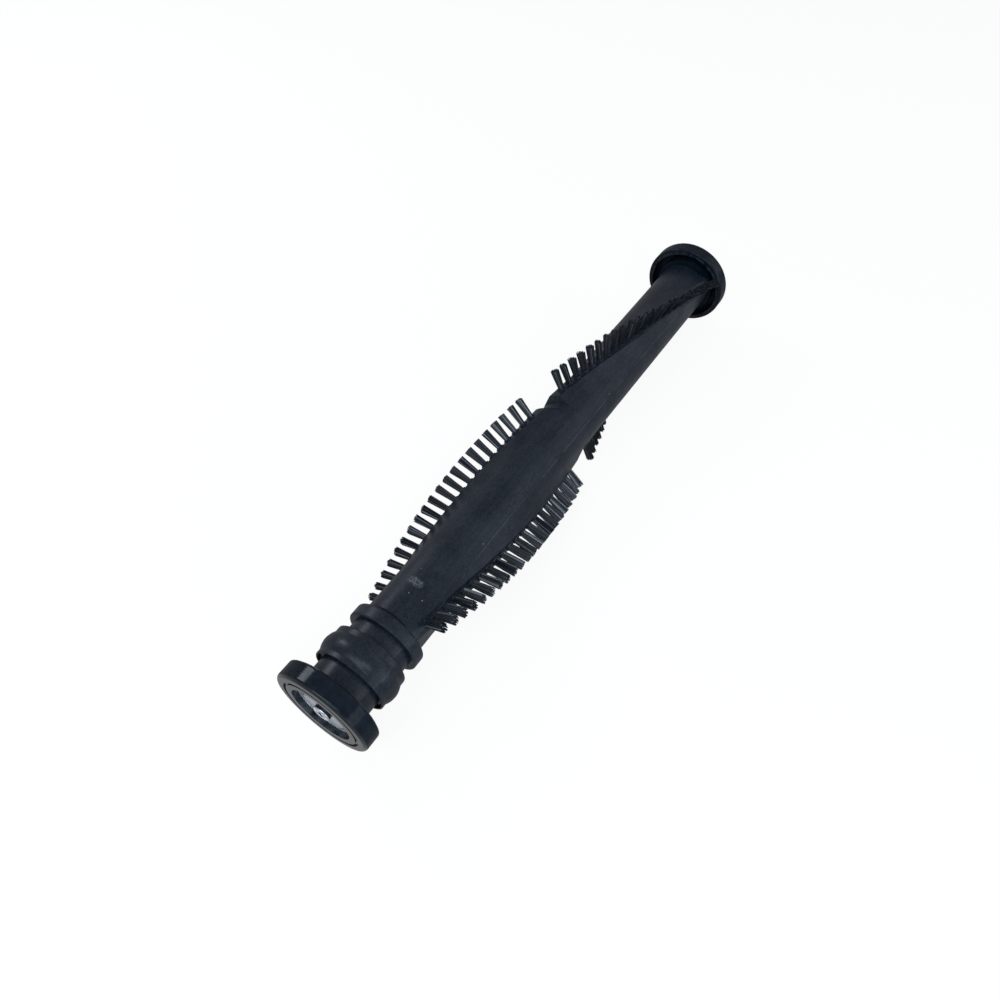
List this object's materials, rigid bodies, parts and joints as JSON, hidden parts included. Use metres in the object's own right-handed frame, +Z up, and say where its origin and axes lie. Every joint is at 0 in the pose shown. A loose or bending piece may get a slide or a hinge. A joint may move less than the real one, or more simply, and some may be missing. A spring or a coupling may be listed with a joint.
{
  "type": "vacuum agitator brush",
  "caption": "Moulded vacuum brush roller with a crowned belt pulley, twisted ridges set with nylon tufts, and cup end caps on shielded ball bearings.",
  "frame": {"origin": "mid length of the roller, on its spin axis", "axes": "+X along the spin axis from the pulley (drive) end to the free end, +Z up as the brush lies in the nozzle"},
  "size_m": [0.3, 0.0518, 0.0518],
  "materials": {
    "roller_plastic": "satin charcoal moulded plastic with fine mottling and light scuffs",
    "cap_plastic": "smooth charcoal moulded plastic, a little glossier than the roller",
    "tuft_nylon": "black nylon filaments with cut tips",
    "bearing_steel": "ground bearing steel",
    "ball_steel": "polished steel",
    "shield_steel": "pressed steel sheet",
    "washer_steel": "plated steel",
    "screw_steel": "bright plated steel"
  },
  "bodies": {
    "drive_cap": {"drive_end_cap": "cap_plastic", "drive_bearing_outer_ring": "bearing_steel", "drive_bearing_outer_shield": "shield_steel", "drive_bearing_inner_shield": "shield_steel"},
    "roller": {"roller_body": "roller_plastic", "drive_half_tufts_a": "tuft_nylon", "drive_half_tufts_b": "tuft_nylon", "free_half_tufts_a": "tuft_nylon", "free_half_tufts_b": "tuft_nylon", "drive_bearing_inner_ring": "bearing_steel", "drive_washer": "washer_steel", "drive_screw": "screw_steel", "free_bearing_inner_ring": "bearing_steel", "free_washer": "washer_steel", "free_screw": "screw_steel"},
    "drive_ball_set": {"drive_bearing_balls": "ball_steel", "drive_bearing_cage": "shield_steel"},
    "free_cap": {"free_end_cap": "cap_plastic", "free_bearing_outer_ring": "bearing_steel", "free_bearing_outer_shield": "shield_steel", "free_bearing_inner_shield": "shield_steel"},
    "free_ball_set": {"free_bearing_balls": "ball_steel", "free_bearing_cage": "shield_steel"}
  },
  "joints": [
    {"name": "roller_spin", "type": "hinge", "parent": "drive_cap", "child": "roller", "pos_m": [-0.1453, 0, 0], "axis": [1, 0, 0], "continuous": true},
    {"name": "drive_ball_orbit", "type": "hinge", "parent": "drive_cap", "child": "drive_ball_set", "pos_m": [-0.1453, 0, 0], "axis": [1, 0, 0], "continuous": true},
    {"name": "free_cap_spin", "type": "hinge", "parent": "roller", "child": "free_cap", "pos_m": [0.1453, 0, 0], "axis": [1, 0, 0], "continuous": true},
    {"name": "free_ball_orbit", "type": "hinge", "parent": "roller", "child": "free_ball_set", "pos_m": [0.1453, 0, 0], "axis": [1, 0, 0], "continuous": true}
  ],
  "couplings": [
    {"joint": "drive_ball_orbit", "follows": "roller_spin", "ratio": 0.43954},
    {"joint": "free_ball_orbit", "follows": "free_cap_spin", "ratio": 0.56046}
  ]
}
